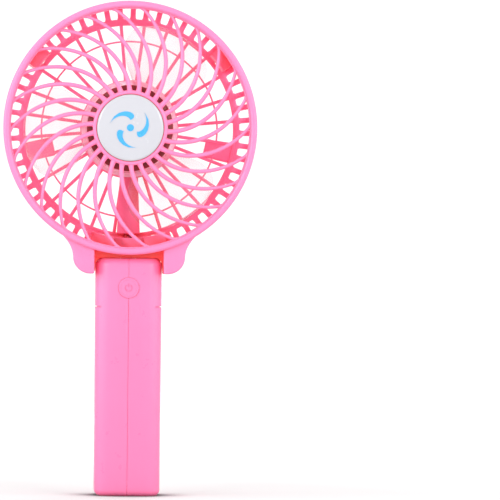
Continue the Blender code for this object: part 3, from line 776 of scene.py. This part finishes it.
def make_rear_shell():
    """Side bars between the seam band and the flange, solid at the feet and the screws."""
    seam_band = rounded([(REAR_R, REAR_SEAM, 0.25), (REAR_R, -1.5, 0.3),
                         (REAR_R - WALL, -1.5, 0.3), (REAR_R - WALL, REAR_SEAM, 0.2)], 3)
    flange = rounded([(47.1, REAR_Y - WALL, 0.3), (47.1, REAR_Y, 0.3), (45.4, REAR_Y, 0.3),
                      (45.4, REAR_Y - WALL, 0.3)], 3)
    bands = joined([lathe(seam_band, FINE), lathe(flange, FINE)])
    turns = [SPOKE_START + 360.0 / BARS * i for i in range(BARS)]
    bars = [bar(turn) for turn in turns if not near(turn, DOWN, 22.5)
            and not any(near(turn, a, 5.0) for a in UPPER_SCREWS)]
    outline = shell_outline()
    walls = [sector(outline, DOWN - 22.0, DOWN + 22.0, 24)]
    walls += [sector(outline, a - 5.6, a + 5.6, 8) for a in UPPER_SCREWS]
    low = REAR_SEAM + 0.1
    block = rounded([(46.4, low, 0.3), (52.6, low, 0.2), (52.6, REAR_Y + 0.1, 1.2),
                     (46.4, REAR_Y + 0.1, 0.4)], 4)
    pad = rounded([(46.4, low, 0.3), (52.4, low, 0.2), (52.4, REAR_Y + 0.4, 1.0),
                   (46.4, REAR_Y + 0.4, 0.4)], 4)
    side = FOOT_IN + 0.5
    centres = [polar(SCREW_R, a, (HEAD.x, HEAD.z)) for a in SCREW_ANGLES]
    pin = (PIVOT.y, PIVOT.z)
    shell = carved(
        bands,
        ("UNION", joined(bars)),
        ("UNION", joined(walls)),
        ("UNION", sector(block, DOWN - 19.4, DOWN + 19.4, 20)),
        ("UNION", joined([sector(pad, a - 5.4, a + 5.4, 8) for a in UPPER_SCREWS])),
        ("UNION", joined([rear_foot(1), rear_foot(-1)])),
        ("UNION", box((-side, 4.0, HEAD.z - 54.88), (side, 8.7, HEAD.z - 48.0), 0.3)),
        ("UNION", box((-side, 5.0, HEAD.z - 54.55), (side, REAR_Y, HEAD.z - 48.0), 0.3)),
        ("DIFFERENCE", joined([rod(2.7, 11.2, 18.0, "Y", c) for c in centres])),
        ("DIFFERENCE", joined([rod(1.6, -8.0, 11.6, "Y", c, 32) for c in centres])),
        ("DIFFERENCE", joined([rod(BORE_R, 13.0, 17.7, "X", pin),
                               rod(BORE_R, -17.7, -13.0, "X", pin)])),
        ("DIFFERENCE", box((-2.6, 9.9, HEAD.z - 60.0), (2.6, 12.6, HEAD.z - 40.0), 0.5)),
        ("UNION", box((-2.95, 12.7, HEAD.z - 56.0), (2.95, 14.2, HEAD.z - 53.0), 0.2)))
    piece("rear_shell_skin", shell, PINK, "head", "pink_plastic", "rear_shell")


def spoke(turn):
    """One straight spoke of the back grille, rounded on its edges."""
    section = rounded([(-SPOKE_W / 2, SPOKE_FRONT, 0.4), (SPOKE_W / 2, SPOKE_FRONT, 0.4),
                       (SPOKE_W / 2, 13.9, 0.5), (-SPOKE_W / 2, 13.9, 0.5)], 3)
    rings = [[(HEAD.x + r, y, HEAD.z + across) for across, y in section] for r in (20.0, 44.6)]
    return turned(loft(rings), turn)


def duct_half(radius):
    """Half the width of the wire duct, which widens outwards."""
    return (7.7 + 2.0 * (radius - 20.0) / 24.0) / 2


def make_rear_grille():
    """Hub, rings and spokes of the back, with the motor seat, wire duct and stand lugs."""
    hub = rounded([(0.0, 12.3, 0.0), (BACK_HUB_R, 12.3, 0.5), (BACK_HUB_R, REAR_Y, 0.7),
                   (17.6, REAR_Y, 0.2), (17.2, 13.6, 0.2), (16.6, 13.6, 0.2),
                   (16.2, REAR_Y, 0.2), (0.0, REAR_Y, 0.0)], 3)
    thin = rounded([(37.15, 12.5, 0.2), (37.85, 12.5, 0.2), (37.85, 13.8, 0.25),
                    (37.15, 13.8, 0.25)], 3)
    outer = rounded([(44.3, 12.35, 0.3), (45.6, 12.35, 0.1), (45.6, 13.1, 0.0),
                     (45.25, 13.1, 0.0), (45.25, REAR_Y, 0.2), (44.3, REAR_Y, 0.3)], 3)
    rings = joined([lathe(hub), lathe(thin), lathe(outer, FINE)])
    spokes = joined([spoke(SPOKE_START + i * 360.0 / SPOKES) for i in range(SPOKES)])
    seat = lathe(rounded([(12.5, 6.0, 0.3), (14.1, 6.0, 0.3), (14.1, 12.8, 0.0),
                          (12.5, 12.8, 0.0)], 3), 128)
    duct = [(-duct_half(13.6), HEAD.z - 13.6), (-duct_half(44.4), HEAD.z - 44.6),
            (duct_half(44.4), HEAD.z - 44.6), (duct_half(13.6), HEAD.z - 13.6)]
    lugs = joined([turned(box((33.0, 12.6, HEAD.z - 4.0), (44.6, 19.0, HEAD.z + 4.0), 0.8), a)
                   for a in LUG_ANGLES])
    tunnel = box((-2.6, 9.9, HEAD.z - 48.0), (2.6, 12.6, HEAD.z - 11.6))
    grille = carved(rings, ("UNION", spokes), ("UNION", seat),
                    ("UNION", slab(duct, DUCT_FRONT, 13.9, ease=0.4)), ("UNION", lugs),
                    ("DIFFERENCE", tunnel))
    piece("rear_grille_skin", grille, PINK, "head", "pink_plastic", "rear_grille")


def make_screws():
    """Pan-head screws with a cross recess."""
    for number, angle in enumerate(SCREW_ANGLES, 1):
        x, z = polar(SCREW_R, angle, (HEAD.x, HEAD.z))
        body = rod(1.35, -6.8, 11.8, "Y", (x, z), 40, 0.5)
        head = rod(2.35, 11.5, 13.1, "Y", (x, z), 64, 0.6)
        cross = [box((x - wide, 12.2, z - high), (x + wide, 14.0, z + high))
                 for wide, high in ((1.5, 0.28), (0.28, 1.5))]
        screw = carved(head, ("UNION", body), ("DIFFERENCE", cross[0]),
                       ("DIFFERENCE", cross[1]))
        piece(f"screw_{number}", screw, ZINC, "head", "zinc_steel", f"shell_screw_{number}")


# ------------------------------------------------------------------- rotor

def blade(angle):
    """Wide twisted blade, thin towards its tip, with rounded corners."""
    count = 22
    rows = []
    root = CUP_R - 0.7
    for i in range(count + 1):
        u = i / count
        radius = root + (TIP_R - root) * u
        half = 26.0 + 7.0 * math.sin(math.pi * min(1.0, u * 1.05)) - 5.0 * u ** 6
        half -= 9.0 * max(0.0, (u - 0.86) / 0.14) ** 2.2
        row = []
        for k in range(count + 1):
            v = k / count
            turn = angle + half * (2 * v - 1) + 4.0 * u
            rise = (14.4 - 5.4 * u) * (0.5 - v) + 1.6 * math.sin(math.pi * v) - 1.2
            row.append((radius, turn, rise))
        rows.append(row)
    rings = []
    for i, row in enumerate(rows):
        thick = 1.35 - 0.45 * i / count
        shares = [min(1.0, 0.35 + 6.0 * min(k, count - k) / count) for k in range(count + 1)]
        front = [about_head(r, y, turn) for r, turn, y in row]
        back = [about_head(r, y + thick * share, turn)
                for share, (r, turn, y) in zip(shares, row)]
        rings.append(front + back[::-1])
    return loft(rings)


def make_impeller():
    """Clear blades on a cup that is frosted outside, its face dark with painted shade for the
    gap behind the front hub.
    """
    cup = rounded([(1.03, -10.2, 0.2), (CUP_R, -10.2, 2.4), (CUP_R, 6.4, 0.8),
                   (20.5, 6.9, 0.3), (20.5, 7.9, 0.3),
                   (CUP_R - 1.4, 7.9, 0.4), (CUP_R - 1.4, -8.6, 1.2),
                   (3.4, -8.6, 0.3), (3.4, -3.8, 0.3), (1.03, -3.8, 0.2)], 5)
    steps = [("UNION", blade(60.0 + 360.0 / BLADES * i)) for i in range(BLADES)]
    impeller = piece("impeller_clear", carved(lathe(cup), *steps), CLEAR, "rotor",
                     "clear_plastic", "impeller")
    impeller.data.materials.append(FROSTED)
    impeller.data.materials.append(HUB_PAINTED_SHADE)
    # The cup's face inside 18.3 mm takes the dark material in slot 2: painted shade for the gap
    # behind the front hub
    for face in impeller.data.polygons:
        middle = face.center / MM - HEAD
        radius = math.hypot(middle.x, middle.z)
        if radius < 20.8:
            face.material_index = 2 if middle.y < -7.8 and radius < 18.3 else 1


def make_hinge_pins():
    """The two pins the handle folds on."""
    for side, label in ((-1, "left"), (1, "right")):
        low, high = sorted((side * 9.0, side * 17.4))
        pin = rod(PIN_R, low, high, "X", (PIVOT.y, PIVOT.z), 48, 0.3)
        piece(f"hinge_pin_{label}", pin, STEEL, "head", "steel", f"pivot_pin_{label}")


def smooth_path(points, count):
    """A smooth curve through the points."""
    ends = [points[0]] + list(points) + [points[-1]]
    path = []
    for i in range(len(points) - 1):
        a, b, c, d = (Vector(p) for p in ends[i:i + 4])
        for k in range(count):
            t = k / count
            path.append(0.5 * (2 * b + (c - a) * t + (2 * a - 5 * b + 4 * c - d) * t ** 2
                               + (3 * b - a - 3 * c + d) * t ** 3))
    path.append(Vector(points[-1]))
    return path


def make_leads():
    """Both leads from the motor down the duct, and on to the circuit board."""
    for side, label, mat in ((-1, "red", RED_WIRE), (1, "black", BLACK_WIRE)):
        x = side * 1.2
        drops = ((2.4, 8.0), (1.0, 12.0), (1.0, 28.0), (1.0, 44.0), (1.0, 54.2))
        head = [(x * wide, 11.25, HEAD.z - drop) for wide, drop in drops]
        slot = f"{label}_insulation"
        piece(f"lead_{label}_head", tube(smooth_path(head, 6), LEAD_R), mat, "head", slot,
              f"head_lead_{label}")
        drops = ((1.0, 6.0, 0.3), (1.0, 6.0, 2.9), (1.6, 2.7, 5.1), (1.6, 2.7, 7.1))
        grip = [(x * wide, y, HANDLE_TOP - drop) for wide, y, drop in drops]
        piece(f"lead_{label}_handle", tube(smooth_path(grip, 6), LEAD_R), mat, "handle", slot,
              f"handle_lead_{label}")


# ---------------------------------------------------------------------- handle

def handle_section(inset, z):
    """Ring of the handle's section at a height: bowed front, rounded corners, flat back."""
    half = HANDLE_HALF - inset
    front = HANDLE_Y[0] + inset
    back = HANDLE_Y[1] - inset
    big = max(6.0 - inset, 0.5)
    small = max(3.6 - inset, 0.5)
    side = arc(big, -84.0, 0.0, 12, (half - big, front + big + 0.3))
    bow = [(side[0][0] * t, front + (side[0][1] - front) * t * t) for t in (0.25, 0.5, 0.75)]
    points = [(0.0, front)] + bow + side
    points += arc(small, 0.0, 90.0, 8, (half - small, back - small))
    points += [(-x, y) for x, y in reversed(points) if x > 0]
    scale = (BASE_HALF + (HANDLE_HALF - BASE_HALF) * z / HANDLE_TOP) / HANDLE_HALF
    return [(x * scale, y, z) for x, y in points]


def handle_solid(low, high, inset=0.0, ease=(0.0, 0.0)):
    """The handle's outside, or its inside with an inset, its ends rounded by ease."""
    rings = []
    for end, radius, way in ((low, ease[0], 1), (high, ease[1], -1)):
        turns = [math.pi / 2 * i / 7 for i in range(8)] if radius else [math.pi / 2]
        ring = [handle_section(inset + radius * (1 - math.sin(t)),
                               end + way * radius * (1 - math.cos(t))) for t in turns]
        rings += ring if way == 1 else ring[::-1]
    return loft(rings)


def half_box(side):
    """The space on one side of the seam between the handle's halves."""
    low, high = sorted((side * HALVES_GAP, side * 40.0))
    return box((low, -40.0, -10.0), (high, 40.0, 130.0))


def groove_cutter():
    """Shallow groove that carries the cover's top edge on round the front corners."""
    outside = handle_solid(COVER_TOP - 0.35, COVER_TOP + 0.35, -1.0)
    inside = handle_solid(COVER_TOP - 1.0, COVER_TOP + 1.0, 0.7)
    middle = box((-11.3, -30.0, COVER_TOP - 2.0), (11.3, 30.0, COVER_TOP + 2.0))
    return carved(outside, ("DIFFERENCE", inside), ("DIFFERENCE", middle))


def make_handle_half(side, label):
    """Half of the handle's shell with its hinge knuckle and the openings cut into it."""
    low, high = sorted((side * 3.2, side * 13.8))
    neck = box((low, 8.6, PIVOT.z - 3.0), (high, PIVOT.y, PIVOT.z + 2.8), 0.3)
    knuckle = rod(3.3, low, high, "X", (PIVOT.y, PIVOT.z), 64, 0.4)
    low, high = sorted((side * 8.7, side * 15.0))
    bore = rod(BORE_R, low, high, "X", (PIVOT.y, PIVOT.z))
    half = carved(
        handle_solid(0.0, HANDLE_TOP, 0.0, END_EASE),
        ("DIFFERENCE", groove_cutter()),
        ("INTERSECT", half_box(side)),
        ("UNION", neck), ("UNION", knuckle),
        ("DIFFERENCE", handle_solid(BASE_WALL, HANDLE_TOP - BASE_WALL, WALL)),
        ("DIFFERENCE", box((-20.0, COVER_Y, -5.0), (20.0, 20.0, COVER_TOP))),
        ("DIFFERENCE", rod(4.47, -20.0, -12.0, "Y", (0.0, BUTTON_Z), 96)),
        ("DIFFERENCE", box((-4.1, 7.0, BUTTON_Z + 0.3), (4.1, 12.0, BUTTON_Z + 3.7), 0.7)),
        ("DIFFERENCE", box((-2.6, 4.0, HANDLE_TOP - 3.0), (2.6, 8.0, HANDLE_TOP + 1.0), 0.5)),
        ("DIFFERENCE", bore))
    piece(f"handle_half_{label}", half, PINK_GRIP, "handle", "pink_plastic",
          f"handle_shell_{label}")


def make_cover():
    """Battery cover, with grooves for a finger near its top."""
    back = HANDLE_Y[1]
    grips = joined([box((-7.0, back - 0.45, z), (7.0, back + 2.0, z + 0.9), 0.2)
                    for z in (68.0, 70.2, 72.4, 74.6)])
    cover = carved(
        handle_solid(0.0, HANDLE_TOP, 0.0, END_EASE),
        ("INTERSECT", box((-30.0, COVER_Y + COVER_GAP, -5.0),
                          (30.0, 20.0, COVER_TOP - COVER_GAP), 0.15)),
        ("DIFFERENCE", handle_solid(BASE_WALL, HANDLE_TOP, WALL)),
        ("DIFFERENCE", grips))
    piece("battery_cover_skin", cover, PINK_GRIP, "cover", "pink_plastic", "battery_cover")


def at_button(mesh):
    """Move a shape from the head's axis to the button's."""
    mesh.transform(Matrix.Translation(Vector((-HEAD.x, 0.0, BUTTON_Z - HEAD.z)) * MM))
    return mesh


def make_button():
    """Button with a generic power mark cut into it, and the ring round it."""
    ring = rounded([(3.48, -15.3, 0.03), (4.36, -15.25, 0.15), (4.36, -12.0, 0.2),
                    (3.48, -12.0, 0.2)], 4)
    piece("button_ring_skin", at_button(lathe(ring, 96)), PINK_GRIP, "handle",
          "frosted_plastic", "button_ring")
    cap = rounded([(0.0, -15.15, 0.0), (2.2, -15.18, 1.0), (BUTTON_R, -15.3, 0.05),
                   (BUTTON_R, -11.7, 0.1), (4.3, -11.7, 0.2), (4.3, -10.7, 0.2),
                   (2.0, -10.7, 0.2), (2.0, -4.9, 0.3), (0.0, -4.9, 0.0)], 4)
    groove = at_button(sector([(1.2, -16.0), (1.6, -16.0), (1.6, -14.9), (1.2, -14.9)],
                              125.0, 415.0, 40))
    stroke = box((-0.2, -16.0, BUTTON_Z + 0.3), (0.2, -14.9, BUTTON_Z + 1.95))
    button = carved(at_button(lathe(cap, 96)), ("DIFFERENCE", groove),
                    ("DIFFERENCE", stroke))
    piece("power_button_skin", button, PINK_GRIP, "button", "pink_plastic", "power_button")


def make_socket():
    """Metal shell of the charging socket with the tongue in it."""
    low, high = span("usb_socket")
    middle = (low.z + high.z) / 2

    def outline(inset):
        half_w = high.x - inset
        half_h = (high.z - low.z) / 2 - inset
        return rounded([(-half_w, middle + half_h, 0.5), (half_w, middle + half_h, 0.5),
                        (half_w, middle - half_h * 0.3, 0.4),
                        (half_w - 0.9, middle - half_h, 0.4),
                        (-half_w + 0.9, middle - half_h, 0.4),
                        (-half_w, middle - half_h * 0.3, 0.4)], 4)

    shell = carved(slab(outline(0.0), low.y, high.y, "XZ", 0.12),
                   ("DIFFERENCE", slab(outline(0.32), low.y + 1.2, high.y + 2.0, "XZ")))
    piece("charging_socket", shell, ZINC, "handle", "zinc_steel", "usb_socket")
    tongue = box((-2.3, low.y + 1.0, middle - 0.1), (2.3, high.y - 1.0, middle + 0.5), 0.12)
    piece("socket_tongue", tongue, BLACK, "handle", "black_plastic")


def make_cell():
    """Round cell with the cap of its positive end."""
    low, high = span("battery_cell")
    centre = ((low.x + high.x) / 2, (low.y + high.y) / 2)
    radius = (high.x - low.x) / 2
    can = rod(radius, low.z, high.z - 0.9, "Z", centre, 128, 0.6)
    piece("cell_body", can, WRAP, "handle", "cell_wrap", "battery_cell")
    nub = rod(3.2, high.z - 1.3, high.z, "Z", centre, 64, 0.25)
    piece("cell_cap", nub, ZINC, "handle", "zinc_steel")


def finish_inner_nodes():
    """Materials and eased edges for the CAD nodes that stay."""
    finishes = {
        "motor_can": ZINC, "motor_magnet_ring": FERRITE, "motor_end_cap": WHITE,
        "armature": COPPER, "motor_shaft": STEEL, "circuit_board": BOARD,
        "tact_switch": BLACK, "switch_plunger": BLACK, "status_led": LED,
        "battery_contact": ZINC, "battery_spring": STEEL,
    }
    for name, mat in finishes.items():
        obj = frame["nodes"][name]
        obj.data.materials.clear()
        obj.data.materials.append(mat)
        if name != "battery_spring":
            ease = obj.modifiers.new("eased_edges", "BEVEL")
            ease.width = 0.12 * MM
            ease.segments = 2
            ease.limit_method = "ANGLE"
            ease.angle_limit = math.radians(40)


# ------------------------------------------------------------- stage and camera

def make_floor():
    """Pale floor that darkens under the handle and glows faintly further away."""
    bm = bmesh.new()
    bmesh.ops.create_grid(bm, x_segments=8, y_segments=8, size=FLOOR_SIZE)
    mesh = bpy.data.meshes.new("floor")
    bm.to_mesh(mesh)
    bm.free()
    floor = placed("floor", mesh)
    mat, tree, shader, place = shader_base("floor_white", (0.9, 0.9, 0.9))
    paper = noise(tree, place, 4.0, 2.0)
    pale = mixed(tree, paper, (0.54, 0.54, 0.54), (0.55, 0.55, 0.55))
    clear = spread(tree, openness(tree, CONTACT_REACH), 0.0, 1.0, (0.5, 0.92))
    tree.links.new(mixed(tree, clear, CONTACT_SHADE, pale), shader.inputs["Base Color"])
    shader.inputs["Roughness"].default_value = 0.9
    shader.inputs["Specular IOR Level"].default_value = 0.0
    away = tree.nodes.new("ShaderNodeVectorMath")
    away.operation = "LENGTH"
    tree.links.new(place.outputs["Object"], away.inputs[0])
    tree.links.new(spread(tree, away.outputs["Value"], 0.0, 0.55, (0.12, 0.95)),
                   shader.inputs["Emission Strength"])
    shader.inputs["Emission Color"].default_value = (1.0, 1.0, 1.0, 1.0)
    mesh.materials.append(mat)


def area_light(name, place, target, size, power):
    """A rectangular soft box aimed at the target; size in metres, power in watts."""
    data = bpy.data.lights.new(name, "AREA")
    data.shape = "RECTANGLE"
    data.size, data.size_y = size
    data.energy = power
    light = placed(name, data)
    light.location = place
    way = Vector(target) - Vector(place)
    light.rotation_euler = way.to_track_quat("-Z", "Y").to_euler()


def make_lights():
    """White surroundings, with soft boxes at both sides, in front and behind."""
    world = bpy.data.worlds.new("studio")
    world.use_nodes = True
    sky = world.node_tree.nodes["Background"]
    sky.inputs["Color"].default_value = (1.0, 1.0, 1.0, 1.0)
    sky.inputs["Strength"].default_value = 1.12
    bpy.context.scene.world = world
    middle = (0.0, 0.0, 0.11)
    area_light("softbox_left", (-0.8, -0.3, 0.3), middle, (0.8, 0.9), 7.6)
    area_light("softbox_right", (0.8, -0.3, 0.3), middle, (0.8, 0.9), 5.6)
    area_light("softbox_front_left", (-0.6, -1.05, 0.42), middle, (0.22, 0.2), 4.6)
    area_light("softbox_front_right", (0.6, -1.05, 0.42), middle, (0.22, 0.2), 4.2)
    area_light("softbox_back", (0.2, 0.9, 0.5), middle, (0.8, 0.8), 6.0)


def make_camera():
    """A long lens in front of the fan, which stands left of the middle of the view."""
    across, up = 50.35 * MM, 51.5 * MM
    aim = Vector((across + up * CAMERA_LEAN, FRONT_Y * MM,
                  HEAD.z * MM - up + across * CAMERA_LEAN))
    place = Vector((-0.035, -2.2, 0.105))
    data = bpy.data.cameras.new("camera")
    data.sensor_width = 36.0
    data.lens = data.sensor_width * (aim - place).length / VIEW_WIDTH
    data.clip_end = 100.0
    camera = placed("camera", data)
    camera.location = place
    look = (aim - place).to_track_quat("-Z", "Y").to_matrix().to_4x4()
    camera.rotation_euler = (look @ Matrix.Rotation(CAMERA_LEAN, 4, "Z")).to_euler()
    bpy.context.scene.camera = camera


make_camera()
make_front_shell()
make_front_grille()
make_badge()
make_rear_shell()
make_rear_grille()
make_screws()
make_impeller()
make_hinge_pins()
make_leads()
make_handle_half(-1, "left")
make_handle_half(1, "right")
make_cover()
make_button()
make_socket()
make_cell()
finish_inner_nodes()
make_floor()
make_lights()
bpy.context.scene.view_settings.view_transform = "Standard"
